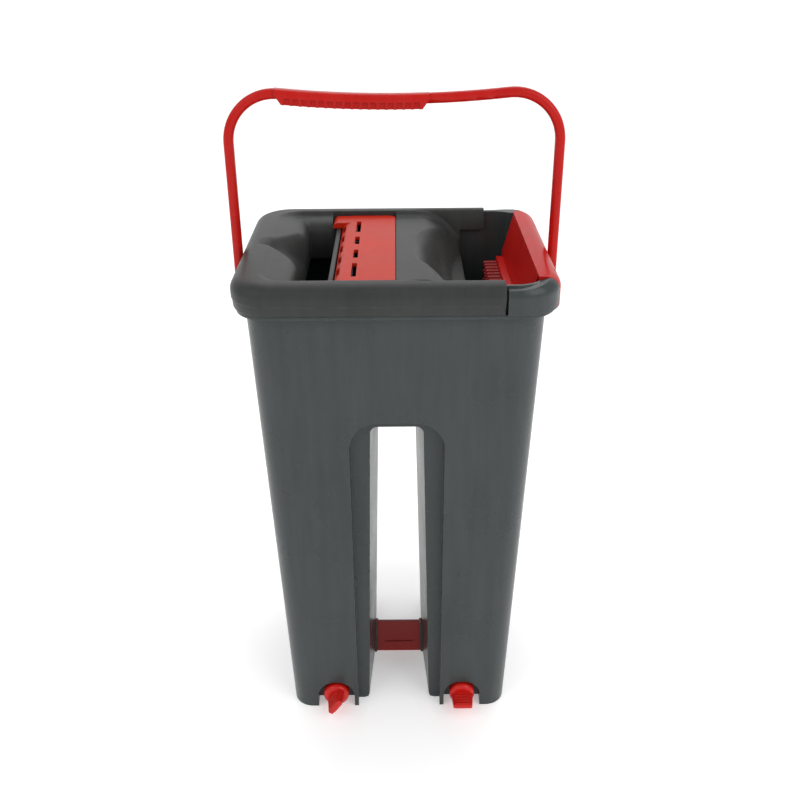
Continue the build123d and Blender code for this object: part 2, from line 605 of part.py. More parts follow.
with BuildPart() as wringer_screws:
    with BuildSketch(Plane.XY.offset(SEAT_TOP - WALL)):
        with Locations(*SCREW_SPOTS):
            Circle(SCREW_RADIUS)
    extrude(amount=WALL + PANEL_THICK - SCREW_SHORT)
    with BuildSketch(Plane.XY.offset(SEAT_TOP - WALL)):
        with Locations(*SCREW_SPOTS):
            Circle(SCREW_HEAD)
    extrude(amount=-SCREW_HEAD_HIGH)
    chamfer(wringer_screws.faces().sort_by(Axis.Z)[0:4].edges(), SCREW_CHAMFER)
wringer_screws.part.label = "wringer_screws"

with BuildPart() as wiping_strip:
    with BuildSketch(Plane.XZ.offset(-SLOT_BACK)):
        with BuildLine():
            Polyline((STRIP_LEFT, FUNNEL_FOOT - STRIP_FALL), (SLOT_RIGHT, FUNNEL_FOOT),
                     (SLOT_RIGHT + WALL, FUNNEL_FOOT), (SLOT_RIGHT + WALL, FUNNEL_FOOT - STRIP_THICK),
                     (SLOT_RIGHT, FUNNEL_FOOT - STRIP_THICK), close=True)
        make_face()
    extrude(amount=SLOT_BACK - SLOT_FRONT)
wiping_strip.part.label = "wiping_strip"

# ------------------------------------------------------------------ brush holder and brush
holder_zone = plain_box((HOLDER_EDGE, REACH), (-HOLDER_HALF, HOLDER_HALF), (0, HEIGHT + BEYOND))
holder_inside = body_block(WALL + HOLDER_CLEARANCE, 0, HEIGHT + BEYOND)
with BuildPart() as holder_wall:
    add(side_profile(
        [(HOLDER_EDGE, HEIGHT), (HOLDER_WALL_X, HOLDER_KNEE), (HOLDER_WALL_X, HOLDER_FOOT),
         (HOLDER_WALL_X + WALL, HOLDER_FOOT), (HOLDER_WALL_X + WALL, HOLDER_KNEE - WALL / 4),
         (HOLDER_EDGE + WALL, HEIGHT - WALL), (HOLDER_EDGE + WALL, HEIGHT)],
        -HOLDER_REACH, HOLDER_REACH,
    ))
    # end cheeks that stiffen the wall
    for side in (-1, 1):
        ends = sorted((side * HOLDER_REACH, side * (HOLDER_REACH - WALL)))
        add(side_profile(
            [(HOLDER_EDGE, HEIGHT - WALL), (HOLDER_WALL_X, HOLDER_KNEE),
             (HOLDER_WALL_X, HOLDER_FOOT + CHEEK_RISE),
             (HOLDER_EDGE + CHEEK_TOP, HEIGHT - WALL)],
            ends[0], ends[1],
        ))
    add(holder_inside, mode=Mode.INTERSECT)

with BuildPart() as brush_holder:
    add(rim_block(SKIRT))
    add(rim_hollow(HEIGHT - WALL, plan_block(1, 1, 0.4, 0, BEYOND)), mode=Mode.SUBTRACT)
    add(holder_zone, mode=Mode.INTERSECT)
    add(holder_wall.part)
    # finger notches in the outer edge
    with BuildSketch(Plane.XY.offset(HEIGHT + BEYOND)):
        with Locations(*FINGER_NOTCHES):
            Circle(FINGER_NOTCH_RADIUS)
    extrude(amount=-(WALL + 2 * BEYOND), mode=Mode.SUBTRACT)
    # screw holes for the brush plate
    with BuildSketch(Plane.YZ.offset(HOLDER_WALL_X - BEYOND)):
        with Locations(*BRUSH_SCREW_SPOTS):
            Circle(SCREW_HOLE)
    extrude(amount=WALL + 2 * BEYOND, mode=Mode.SUBTRACT)
brush_holder.part.label = "brush_holder"

brush_face = HOLDER_WALL_X - BRUSH_THICK
with BuildPart() as brush_plate:
    with BuildSketch(Plane.YZ.offset(brush_face)):
        with Locations((0, (HOLDER_KNEE + BRUSH_FOOT) / 2)):
            RectangleRounded(2 * BRUSH_HALF, HOLDER_KNEE - BRUSH_FOOT, 2.0)
    extrude(amount=BRUSH_THICK)
    fillet(brush_plate.faces().sort_by(Axis.X)[0].edges(), 1.0)
    with BuildSketch(Plane.YZ.offset(HOLDER_WALL_X + BEYOND)):
        with Locations(*BRUSH_SCREW_SPOTS):
            Circle(SCREW_HOLE)
    extrude(amount=-(BEYOND + 4.5), mode=Mode.SUBTRACT)
brush_plate.part.label = "brush_plate"

with BuildPart() as brush_screws:
    with BuildSketch(Plane.YZ.offset(HOLDER_WALL_X + WALL)):
        with Locations(*BRUSH_SCREW_SPOTS):
            Circle(SCREW_RADIUS)
    extrude(amount=-(WALL + 4.0))
    with BuildSketch(Plane.YZ.offset(HOLDER_WALL_X + WALL)):
        with Locations(*BRUSH_SCREW_SPOTS):
            Circle(SCREW_HEAD)
    extrude(amount=SCREW_HEAD_HIGH)
brush_screws.part.label = "brush_screws"

tuft_rows = []
for row in range(TUFT_ROWS):
    height = HOLDER_KNEE - TUFT_DROP - row * (HOLDER_KNEE - BRUSH_FOOT - 2 * TUFT_DROP) / (TUFT_ROWS - 1)
    with BuildPart() as tufts:
        with BuildSketch(Plane.YZ.offset(brush_face)):
            with GridLocations(TUFT_PITCH, 1, TUFT_COUNT, 1):
                with Locations((0, height)):
                    Circle(TUFT_RADIUS)
        extrude(amount=-TUFT_LONG)
        fillet(tufts.edges().group_by(Axis.X)[0], TUFT_RADIUS * 0.8)
    tufts.part.label = f"brush_tufts_{row + 1}"
    tuft_rows.append(tufts.part)

# ------------------------------------------------------------------ bail handle
half_bar = ARM_X - SHOULDER * (1 - cos(radians(SHOULDER_TURN)))
bar_radius = half_bar / sin(radians(SHOULDER_TURN - 90))
bar_turn = 2 * (SHOULDER_TURN - 90)
bar_end = ARM_TOP + SHOULDER * sin(radians(SHOULDER_TURN))
bar_low = bar_end - bar_radius * (1 - cos(radians(SHOULDER_TURN - 90)))
grip_middle = (GRIP_LEFT + GRIP_RIGHT) / 2


def bar_height(x):
    """Height of the middle of the sagging bar."""
    return bar_low + bar_radius - sqrt(bar_radius ** 2 - x ** 2)


# Grip, offset to the left and curved with the bar, rounded along its top.
with BuildPart() as grip_block:
    with BuildSketch(Plane.XZ.offset(-GRIP_DEEP / 2)):
        with BuildLine():
            crest = ThreePointArc(*[(x, bar_height(x) + GRIP_ABOVE)
                                    for x in (GRIP_LEFT, grip_middle, GRIP_RIGHT)])
            belly = ThreePointArc(*[(x, bar_height(x) - GRIP_BELOW)
                                    for x in (GRIP_LEFT + GRIP_BEVEL, grip_middle, GRIP_RIGHT - GRIP_BEVEL)])
            Polyline(crest @ 0, (GRIP_LEFT, bar_height(GRIP_LEFT)), belly @ 0)
            Polyline(crest @ 1, (GRIP_RIGHT, bar_height(GRIP_RIGHT)), belly @ 1)
        make_face()
    extrude(amount=GRIP_DEEP)
    long_edges = grip_block.edges().filter_by(GeomType.CIRCLE).sort_by(SortBy.LENGTH)[-4:]
    fillet(long_edges.sort_by(Axis.Z)[-2:], GRIP_CROWN)

with BuildPart() as carry_handle:
    with BuildLine(Plane.XZ) as bail:
        left_arm = Line((-ARM_X, PIVOT_Z), (-ARM_X, ARM_TOP))
        left_bend = JernArc(start=left_arm @ 1, tangent=(0, 1), radius=SHOULDER, arc_size=-SHOULDER_TURN)
        bar = JernArc(start=left_bend @ 1, tangent=left_bend % 1, radius=bar_radius, arc_size=bar_turn)
        right_bend = JernArc(start=bar @ 1, tangent=bar % 1, radius=SHOULDER, arc_size=-SHOULDER_TURN)
        Line(right_bend @ 1, (ARM_X, PIVOT_Z))
    with BuildSketch(Plane.XY.offset(PIVOT_Z)):
        with Locations((-ARM_X, 0)):
            RectangleRounded(BAIL_WIDE, BAIL_DEEP, BAIL_EDGE)
    sweep()
    add(grip_block.part)
    # finger ribs: pockets along the lower front and back edges of the grip
    for side in (-1, 1):
        for finger in range(FINGER_COUNT):
            x = grip_middle + (finger - (FINGER_COUNT - 1) / 2) * FINGER_PITCH
            with BuildSketch(Plane.XZ.offset(side * GRIP_DEEP / 2)):
                with Locations((x, bar_height(x) - FINGER_DROP)):
                    Rectangle(FINGER_WIDE, FINGER_HIGH)
            extrude(amount=-side * FINGER_DEEP, mode=Mode.SUBTRACT)
    # eyes and studs
    for side in (-1, 1):
        with BuildSketch(Plane.YZ.offset(side * (ARM_X + BAIL_WIDE / 2))):
            with Locations((0, PIVOT_Z)):
                Circle(EYE_RADIUS)
        extrude(amount=-side * BAIL_WIDE)
        with BuildSketch(Plane.YZ.offset(side * ARM_X)):
            with Locations((0, PIVOT_Z)):
                Circle(STUD_RADIUS)
        extrude(amount=-side * (ARM_X - BOSS_END + STUD_DEPTH - BEYOND))
carry_handle.part.label = "carry_handle"


# ------------------------------------------------------------------ drain plugs
def drain_plug():
    """A plug at the origin, pointing to -Y, with its grip lying flat."""
    head_back = -(SOCKET_STAND + SEAL_THICK + SEAT_GAP)
    with BuildPart() as plug:
        with BuildSketch(Plane.XZ.offset(-head_back)):
            Circle(PLUG_RADIUS)
        extrude(amount=-(WALL + SOCKET_STAND + SEAL_THICK + BARB_LONG + 1.0))
        with BuildSketch(Plane.XZ.offset(-(WALL + 0.4))):
            Circle(BARB_RADIUS)
        extrude(amount=-BARB_LONG)
        with BuildSketch(Plane.XZ.offset(-head_back)):
            Circle(HEAD_RADIUS)
        extrude(amount=HEAD_LONG)
        fillet(plug.faces().sort_by(Axis.Y)[0].edges(), 3.5)
        with BuildSketch(Plane.XZ.offset(-head_back + HEAD_LONG - 1.0)) as grip:
            RectangleRounded(GRIP_WIDE, GRIP_THICK, 2.2)
        extrude(amount=GRIP_LONG, taper=5)
        fillet(plug.faces().sort_by(Axis.Y)[0].edges(), 1.6)
        # gripping ridges across both flat sides
        for ridge in range(GRIP_RIDGES):
            reach = -head_back + HEAD_LONG + 2.4 + ridge * 2.8
            with BuildSketch(Plane.XZ.offset(reach)):
                Rectangle(GRIP_WIDE - 4.5 - ridge, GRIP_THICK + 0.6 - 0.5 * ridge)
            extrude(amount=1.2)
    return plug.part


def drain_seal():
    """The flat ring between a plug's head and its socket."""
    with BuildPart() as seal:
        with BuildSketch(Plane.XZ.offset(SOCKET_STAND + SEAT_GAP)):
            Circle(SEAL_RADIUS)
            Circle(PLUG_RADIUS + 0.05, mode=Mode.SUBTRACT)
        extrude(amount=SEAL_THICK)
    return seal.part


drains = []
for name, side, turn in (("left", -1, LEFT_PLUG_TURN), ("right", 1, 0)):
    place = Location((side * DRAIN_X, ALCOVE_BACK, DRAIN_Z), (0, -turn, 0))
    plug = drain_plug().moved(place)
    plug.label = f"drain_plug_{name}"
    seal = drain_seal().moved(place)
    seal.label = f"drain_seal_{name}"
    drains += [plug, seal]

# ------------------------------------------------------------------ leg tie
with BuildPart() as leg_tie:
    add(plain_box((-REACH, REACH), (TIE_FRONT, TIE_FRONT + TIE_THICK), (TIE_FOOT, TIE_TOP)))
    add(leg_gap(-TIE_CLEARANCE), mode=Mode.INTERSECT)
    bead_half = TUNNEL_CROWN_HALF - TIE_RIB_STAND
    add(plain_box((-bead_half, bead_half), (TIE_FRONT - TIE_BEAD, TIE_FRONT),
                  (TIE_BEAD_Z - TIE_BEAD, TIE_BEAD_Z + TIE_BEAD)))
leg_tie.part.label = "leg_tie"

# ------------------------------------------------------------------ files
os.makedirs("parts", exist_ok=True)
pieces = [bucket.part, cover.part, wringer_panel.part, wringer_screws.part, wiping_strip.part,
          brush_holder.part, brush_plate.part, brush_screws.part, *tuft_rows,
          carry_handle.part, *drains, leg_tie.part]
for piece in pieces:
    export_step(piece, f"parts/{piece.label}.step")
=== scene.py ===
import math

import bmesh
import bpy
from mathutils import Matrix, Vector


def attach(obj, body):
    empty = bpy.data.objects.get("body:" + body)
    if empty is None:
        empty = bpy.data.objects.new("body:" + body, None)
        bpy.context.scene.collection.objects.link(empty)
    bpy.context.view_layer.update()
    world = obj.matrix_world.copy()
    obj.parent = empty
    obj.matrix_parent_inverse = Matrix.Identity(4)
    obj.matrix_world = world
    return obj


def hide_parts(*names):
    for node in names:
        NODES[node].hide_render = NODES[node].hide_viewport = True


bl_info = {
    "name": "Flat-mop bucket",
    "version": (1, 0, 0),
    "blender": (4, 5, 0),
    "location": "View3D > Sidebar > Mop Bucket",
    "description": "Finishes a twin-chamber flat-mop bucket: mouldings, brush, plugs and its studio",
    "category": "Object",
}

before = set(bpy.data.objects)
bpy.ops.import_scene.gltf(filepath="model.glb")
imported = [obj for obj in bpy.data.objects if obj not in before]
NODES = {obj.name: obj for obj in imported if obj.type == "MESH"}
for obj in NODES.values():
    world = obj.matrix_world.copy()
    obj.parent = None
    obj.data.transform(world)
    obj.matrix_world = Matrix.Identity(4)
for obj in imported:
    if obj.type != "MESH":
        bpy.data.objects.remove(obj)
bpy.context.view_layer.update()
MM = 0.001


# ------------------------------------------------------------------ colours and nodes
def linear(hex_colour):
    """An sRGB hex colour as linear RGBA."""
    channels = [int(hex_colour[i:i + 2], 16) / 255 for i in (1, 3, 5)]
    return [c / 12.92 if c <= 0.04045 else ((c + 0.055) / 1.055) ** 2.4 for c in channels] + [1.0]


def per_mm(size_mm):
    """The texture scale that makes a pattern repeat about every size_mm on the object."""
    return 1000.0 / size_mm


def add_node(tree, kind, links=None, values=None, **settings):
    """Adds one shader node with its settings, its socket values and its incoming links."""
    made = tree.nodes.new("ShaderNode" + kind)
    for name, value in settings.items():
        setattr(made, name, value)
    for socket, value in (values or {}).items():
        made.inputs[socket].default_value = value
    for socket, source in (links or {}).items():
        tree.links.new(source, made.inputs[socket])
    return made


def blank_material(name):
    """An empty node material and its output."""
    material = bpy.data.materials.new(name)
    material.use_nodes = True
    material.node_tree.nodes.clear()
    return material, material.node_tree, add_node(material.node_tree, "OutputMaterial")


def two_tone(tree, share, dark_hex, light_hex):
    """A colour between two hex colours, picked by share."""
    return add_node(tree, "MixRGB", {"Fac": share}, {"Color1": linear(dark_hex), "Color2": linear(light_hex)})


def speckle(tree, place, size_mm, detail):
    """Noise with speckles of about size_mm."""
    values = {"Scale": per_mm(size_mm), "Detail": detail}
    return add_node(tree, "TexNoise", {"Vector": place}, values).outputs["Fac"]


def principled(tree, output, colour, rough, bump, **values):
    """A Principled shader with a colour, a roughness and a bump, joined to the output."""
    sockets = {"Base Color": colour.outputs["Color"], "Roughness": rough, "Normal": bump}
    shader = add_node(tree, "BsdfPrincipled", sockets, values)
    tree.links.new(shader.outputs["BSDF"], output.inputs["Surface"])


def moulded_plastic(name, hex_colour, shade_hex, worn_hex, roughness,
                    grain_mm, grain_deep_mm, round_mm, ior=1.4):
    """Injection-moulded plastic with spark-eroded grain, cloudy pigment, flow marks and worn edges.

    The plastic's own ior is 1.49. A lower one is chosen, for a skin that mirrors less.
    """
    material, tree, output = blank_material(name)
    place = add_node(tree, "TexCoord").outputs["Object"]
    # cloudy pigment, a few centimetres across
    cloud = add_node(tree, "TexNoise", {"Vector": place},
                     {"Scale": per_mm(55), "Detail": 3.0, "Roughness": 0.55}).outputs["Fac"]
    cloud = add_node(tree, "MapRange", {"Value": cloud}, {"From Min": 0.3, "From Max": 0.7}).outputs["Result"]
    colour = two_tone(tree, cloud, shade_hex, hex_colour)
    # flow marks: long faint streaks that run up the wall
    stretch = add_node(tree, "Mapping", {"Vector": place}, {"Scale": (1.0, 1.0, 0.08)}).outputs["Vector"]
    flow = add_node(tree, "TexNoise", {"Vector": stretch},
                    {"Scale": per_mm(7), "Detail": 4.0, "Roughness": 0.6}).outputs["Fac"]
    flow = add_node(tree, "MapRange", {"Value": flow},
                    {"From Min": 0.35, "From Max": 0.75, "To Min": 0.0, "To Max": 0.10}).outputs["Result"]
    colour = add_node(tree, "MixRGB", {"Fac": flow, "Color1": colour.outputs["Color"]},
                      {"Color2": linear(worn_hex)})
    # edges: where the rounded normal leaves the flat one
    rounded = add_node(tree, "Bevel", values={"Radius": round_mm * MM}, samples=4).outputs["Normal"]
    flat = add_node(tree, "NewGeometry").outputs["Normal"]
    agree = add_node(tree, "VectorMath", {0: rounded, 1: flat}, operation="DOT_PRODUCT").outputs["Value"]
    edge = add_node(tree, "MapRange", {"Value": agree},
                    {"From Min": 0.995, "From Max": 0.86, "To Min": 0.0, "To Max": 1.0}).outputs["Result"]
    rub = speckle(tree, place, 9, 5.0)
    rub = add_node(tree, "MapRange", {"Value": rub},
                   {"From Min": 0.42, "From Max": 0.66, "To Min": 0.05, "To Max": 0.42}).outputs["Result"]
    wear = add_node(tree, "Math", {0: edge, 1: rub}, operation="MULTIPLY").outputs["Value"]
    colour = add_node(tree, "MixRGB", {"Fac": wear, "Color1": colour.outputs["Color"]},
                      {"Color2": linear(worn_hex)})
    # roughness: cloudy, and a little polished on the edges
    rough = add_node(tree, "MapRange", {"Value": cloud},
                     {"To Min": roughness - 0.03, "To Max": roughness + 0.04}).outputs["Result"]
    polish = add_node(tree, "Math", {0: edge}, {1: 0.06}, operation="MULTIPLY").outputs["Value"]
    rough = add_node(tree, "Math", {0: rough, 1: polish}, operation="SUBTRACT").outputs["Value"]
    # spark-eroded grain, drawn coarser than the mould's 0.1 mm so that it shows
    grain = add_node(tree, "TexNoise", {"Vector": place},
                     {"Scale": per_mm(grain_mm), "Detail": 2.0, "Roughness": 0.6}).outputs["Fac"]
    bump = add_node(tree, "Bump", {"Height": grain, "Normal": rounded},
                    {"Strength": 0.6, "Distance": grain_deep_mm * MM}).outputs["Normal"]
    # slow waves of the moulded wall
    wave = speckle(tree, place, 38, 1.0)
    bump = add_node(tree, "Bump", {"Height": wave, "Normal": bump},
                    {"Strength": 0.12, "Distance": 0.5 * MM}).outputs["Normal"]
    principled(tree, output, colour, rough, bump, IOR=ior)
    return material


def cast_elastomer(name, hex_colour, shade_hex):
    """Soft black elastomer: dull, slightly mottled."""
    material, tree, output = blank_material(name)
    place = add_node(tree, "TexCoord").outputs["Object"]
    mottle = speckle(tree, place, 3, 4.0)
    colour = two_tone(tree, mottle, shade_hex, hex_colour)
    rough = add_node(tree, "MapRange", {"Value": mottle}, {"To Min": 0.62, "To Max": 0.85}).outputs["Result"]
    bump = add_node(tree, "Bump", {"Height": mottle}, {"Strength": 0.4, "Distance": 0.06 * MM})
    principled(tree, output, colour, rough, bump.outputs["Normal"], IOR=1.52)
    return material


def zinc_plate(name, hex_colour, shade_hex):
    """Zinc-plated steel: bright, with dull spots."""
    material, tree, output = blank_material(name)
    place = add_node(tree, "TexCoord").outputs["Object"]
    spots = speckle(tree, place, 1.5, 5.0)
    colour = two_tone(tree, spots, shade_hex, hex_colour)
    rough = add_node(tree, "MapRange", {"Value": spots}, {"To Min": 0.25, "To Max": 0.45}).outputs["Result"]
    bump = add_node(tree, "Bump", {"Height": spots}, {"Strength": 0.3, "Distance": 0.02 * MM})
    principled(tree, output, colour, rough, bump.outputs["Normal"], Metallic=1.0)
    return material


def coat(material, *names):
    """Gives CAD nodes a material in every slot."""
    for name in names:
        piece = NODES[name]
        if not piece.material_slots:
            piece.data.materials.append(material)
        for slot in piece.material_slots:
            slot.material = material


# ------------------------------------------------------------------ the cover's surface, in millimetres
CREST = 404.0                              # top of the rim
DECK = 400.0
LEDGE = 395.0                              # narrow ledge between the slot and the panel
SEAT = 396.8                               # just under the flat of the panel
TROUGH = 376.0                             # floor under the panel's nose
TROUGH_END = -36.0
SLOT = (-72.0, -48.5, -79.0, 68.0)         # left, right, front and back of the drying slot
SLOT_DROP = 369.0                          # lowest point of the deck, at the slot
LIP_DEEP = 10.0                            # rolled lip of the drying slot
LIP_REACH = (9.0, 3.0, 8.0, 16.0)          # its width on the slot's left, right, front and back
PANEL_BED = (-45.0, 0.5, -85.5, 85.5)      # where the wringer panel lies
EAR_BED = (-52.5, 63.5)                    # left and front of the bed of the panel's ear
WINDOW = (-31.0, -8.0)                     # left and right of the three windows under the panel
WINDOW_PITCH = 46.0
WINDOW_HALF = 21.0
MOUTH_HALF = (99.0, 86.5)                  # the deck fills the rim's mouth
MOUTH_CORNER = 22.0
MOUTH_ROLL = 4.5
WALL_Y = 86.2                              # upright wall along the washing opening
WALL_ROLL = 2.5
SHOULDER = (20.0, 54.0)                    # the deck bends down between these into the washing opening
SHOULDER_BEND = 0.0205
SHOULDER_FALL = 2.4
COVER_END = 75.7
MOUTH_START = 55.5                         # the dish ends here, over the washing opening
SIDE_FOOT = 386.6                          # foot of the walls along the washing opening
OUTER_HALF = (117.0, 101.0)
OUTER_CORNER = 30.0
ROLL = 9.5
SKIRT_FOOT = 382.0
SKIRT_THICK = 2.5
BAND_TOP = 389.5                           # a shallow band runs round the skirt's lower half
GRID_LEFT = -108.0                         # the deck's grid of points
GRID_HALF = 92.0
GRID_STEP = 1.5
SPLIT = 0.04                               # half the distance between the two lines of an upright step
TUCK = 0.4                                 # how far the deck runs in under the rim's roll


def smooth(low, high, value):
    """0 below low, 1 above high, and a smooth rise between them."""
    share = min(max((value - low) / (high - low), 0.0), 1.0)
    return share * share * (3 - 2 * share)


def roll_over(distance, radius):
    """Drop of a quarter round: 0 at distance 0, radius at distance radius."""
    reach = min(max(distance, 0.0), radius)
    return radius - math.sqrt(radius * radius - reach * reach)


def rounded_box(x, y, half_x, half_y, corner):
    """Signed distance to a rounded rectangle's outline, negative inside."""
    over_x = abs(x) - (half_x - corner)
    over_y = abs(y) - (half_y - corner)
    return math.hypot(max(over_x, 0), max(over_y, 0)) + min(max(over_x, over_y), 0) - corner


def deck_height(x, y):
    """The cover's upper face without its notches."""
    inside = -rounded_box(x, y, *MOUTH_HALF, MOUTH_CORNER)
    # level with the rim on the left, then 4 mm down behind a soft ridge
    low = CREST - (CREST - DECK) * smooth(-104, -74, x)
    height = CREST - (CREST - low) * smooth(0.0, MOUTH_ROLL, inside)
    start, end = SHOULDER
    if x > start and abs(y) < WALL_Y:
        # rounded shoulder into the washing opening
        reach = min(x, end) - start
        height -= SHOULDER_BEND * reach * reach + max(x - end, 0.0) * SHOULDER_FALL
    elif abs(y) >= WALL_Y:
        height -= roll_over(WALL_ROLL - (abs(y) - WALL_Y), WALL_ROLL) * smooth(10, 30, x)
    return height


def left_notch(x, y):
    """How far the left notch lowers the deck: a funnel from the mop's joint into the drying slot."""
    along = x + 101.0
    if along < -14 or x > SLOT[0] + 1:
        return 0.0
    middle = 1.0
    half = 5.0 + 27.0 * smooth(2, 36, along) + 0.18 * max(along, 0)
    depth = 7.0 * smooth(-6, 8, along) + 15.0 * smooth(6, 32, along)
    # the edge is crisp in front and soft behind
    outer, inner = (1.8, 3.0) if y < middle else (8.4, 7.0)
    return depth * smooth(half + outer, half - inner, abs(y - middle))


def right_notch(x, y):
    """How far the right notch lowers the shoulder: a dish that opens into the washing opening."""
    along = x - 14.0
    if along <= 0:
        return 0.0
    # the plan is a round nose that widens into straight flanks
    nose, nose_half = 6.5, 36.0
    half = nose_half * (along / nose) ** 0.42 if along < nose else nose_half + 1.9 * (along - nose)
    share = min(abs(y) / min(half, 84.0), 1.0)
    # the edge is crisp in front and soft behind
    valley = smooth(1.0, 0.78, share) if y < 0 else 1.0 - share ** 2.4
    return 18.0 * smooth(0, 24, along) * valley


def slot_lip(x, y):
    """How far the rolled lip has dropped towards the drying slot: wide at the back, tight at the right."""
    left, right, front, back = SLOT
    reach_left, reach_right, reach_front, reach_back = LIP_REACH
    across = max(left - x, 0.0) / reach_left + max(x - right, 0.0) / reach_right
    along = max(y - back, 0.0) / reach_back + max(front - y, 0.0) / reach_front
    return roll_over(LIP_DEEP * (1.0 - math.hypot(across, along)), LIP_DEEP)


def cover_height(x, y):
    """Height of the cover's upper face, or None where it is open."""
    bed_left, bed_right, bed_front, bed_back = PANEL_BED
    left, right, front, back = SLOT
    if bed_left < x < bed_right and bed_front < y < bed_back:
        return SEAT if x > TROUGH_END else TROUGH
    if left < x < right and front < y < back:
        return None
    if x > MOUTH_START and abs(y) < WALL_Y:
        return None
    # the panel's ledge along the slot, and the bed of its ear
    if right <= x <= bed_left and front < y < bed_back:
        return LEDGE
    if EAR_BED[0] < x < bed_left and EAR_BED[1] < y < bed_back:
        return LEDGE
    return max(deck_height(x, y) - left_notch(x, y) - right_notch(x, y) - slot_lip(x, y), SLOT_DROP)


def mesh_object(name, build):
    """A new mesh object whose faces are made by build."""
    mesh = bpy.data.meshes.new(name)
    made = bmesh.new()
    build(made)
    made.to_mesh(mesh)
    made.free()
    piece = bpy.data.objects.new(name, mesh)
    bpy.context.collection.objects.link(piece)
    return piece


def lines_between(low, high, step, breaks):
    """Grid lines from low to high about step apart, doubled at each break so that a wall stands upright."""
    lines = {low, high}
    count = round((high - low) / step)
    lines.update(low + (high - low) * index / count for index in range(count + 1))
    clear = step / 5
    lines = {line for line in lines if all(abs(line - edge) > clear for edge in breaks)} | {low, high}
    for edge in breaks:
        if low < edge < high:
            lines.update((edge - SPLIT, edge + SPLIT))
    return sorted(lines)


def rim_outline(grow, steps=14):
    """Points round the rim from the cover's end, past the left, and back to it, set out by grow."""
    half_x, half_y = OUTER_HALF[0] + grow, OUTER_HALF[1] + grow
    corner = OUTER_CORNER + grow
    points = []
    for sign in (1, -1):
        arc = []
        for step in range(steps + 1):
            angle = math.pi / 2 * step / steps
            x = -(half_x - corner) - corner * math.sin(angle)
            arc.append((x, sign * (half_y - corner + corner * math.cos(angle))))
        points.append(arc)
    straight = [COVER_END + (-(half_x - corner) - COVER_END) * share / 30 for share in range(30)]
    back = [(x, half_y) for x in straight] + points[0]
    side = [(-half_x, (half_y - corner) * (1 - 2 * share / 20)) for share in range(1, 20)]
    front = list(reversed(points[1])) + [(x, -half_y) for x in reversed(straight)]
    return back + side + front


def hang_wall(made, grid, line, foot):
    """An upright wall from a line of the deck's vertices down to foot."""
    for near, far in zip(line, line[1:]):
        if near in grid and far in grid:
            upper = [grid[near], grid[far]]
            lower = [made.verts.new((corner.co.x, corner.co.y, foot * MM)) for corner in reversed(upper)]
            made.faces.new(upper + lower)


def over_window(x, y):
    """Whether a point lies over one of the three windows under the panel."""
    return WINDOW[0] < x < WINDOW[1] and any(abs(y - row * WINDOW_PITCH) < WINDOW_HALF for row in (-1, 0, 1))


def build_deck(made):
    """The deck as a grid with upright steps, and the walls that hang from its openings."""
    left, right, front, back = SLOT
    bed_left, bed_right, bed_front, bed_back = PANEL_BED
    breaks_x = (left, right, bed_left, bed_right, EAR_BED[0], TROUGH_END, MOUTH_START)
    breaks_y = (front, back, bed_front, bed_back, EAR_BED[1], -WALL_Y, WALL_Y)
    xs = lines_between(GRID_LEFT, COVER_END, GRID_STEP, breaks_x)
    ys = lines_between(-GRID_HALF, GRID_HALF, GRID_STEP, breaks_y)
    inset = ROLL + TUCK
    grid = {}
    for x in xs:
        for y in ys:
            if rounded_box(x, y, OUTER_HALF[0] - inset, OUTER_HALF[1] - inset, OUTER_CORNER - inset) > 0:
                continue
            height = cover_height(x, y)
            if height is not None:
                grid[x, y] = made.verts.new((x * MM, y * MM, height * MM))
    for x0, x1 in zip(xs, xs[1:]):
        for y0, y1 in zip(ys, ys[1:]):
            corners = [(x0, y0), (x1, y0), (x1, y1), (x0, y1)]
            whole = all(corner in grid for corner in corners)
            if whole and not over_window((x0 + x1) / 2, (y0 + y1) / 2):
                made.faces.new([grid[corner] for corner in corners])
    # walls of the drying slot
    slot_xs = [x for x in xs if left - 2 * SPLIT < x < right + 2 * SPLIT]
    slot_ys = [y for y in ys if front - 2 * SPLIT < y < back + 2 * SPLIT]
    slot_foot = SLOT_DROP - 1
    for x in (left - SPLIT, right + SPLIT):
        hang_wall(made, grid, [(x, y) for y in slot_ys], slot_foot)
    for y in (front - SPLIT, back + SPLIT):
        hang_wall(made, grid, [(x, y) for x in slot_xs], slot_foot)
    # end of the dish, and the walls along the washing opening
    hang_wall(made, grid, [(MOUTH_START - SPLIT, y) for y in ys if abs(y) < WALL_Y], slot_foot)
    for y in (-WALL_Y - SPLIT, WALL_Y + SPLIT):
        hang_wall(made, grid, [(x, y) for x in xs if x > MOUTH_START], SIDE_FOOT)


def build_rim(made):
    """The rim as a swept channel: flat crest, roll, skirt with its band, and back up inside."""
    steps = 10
    angles = [math.pi / 2 * step / steps for step in range(1, steps + 1)]
    land = 3.0
    profile = [(-ROLL - land, CREST - 0.03), (-ROLL, CREST - 0.03)]
    profile += [(-ROLL + ROLL * math.sin(a), CREST - ROLL + ROLL * math.cos(a)) for a in angles]
    profile += [(-0.1, BAND_TOP), (-0.7, BAND_TOP - 0.6), (-1.2, SKIRT_FOOT + 0.6), (-1.6, SKIRT_FOOT),
                (-2.2, SKIRT_FOOT), (-SKIRT_THICK, SKIRT_FOOT + 0.6), (-SKIRT_THICK, CREST - ROLL),
                (-4.6, CREST - 4.6), (-ROLL, CREST - SKIRT_THICK), (-ROLL - land, CREST - SKIRT_THICK)]
    rings = []
    for out, height in profile:
        rings.append([made.verts.new((x * MM, y * MM, height * MM)) for x, y in rim_outline(out)])
    for upper, lower in zip(rings, rings[1:]):
        for index in range(len(upper) - 1):
            made.faces.new((upper[index], upper[index + 1], lower[index + 1], lower[index]))
    # the two cut ends of the rim
    for index in (0, -1):
        made.faces.new([ring[index] for ring in rings])


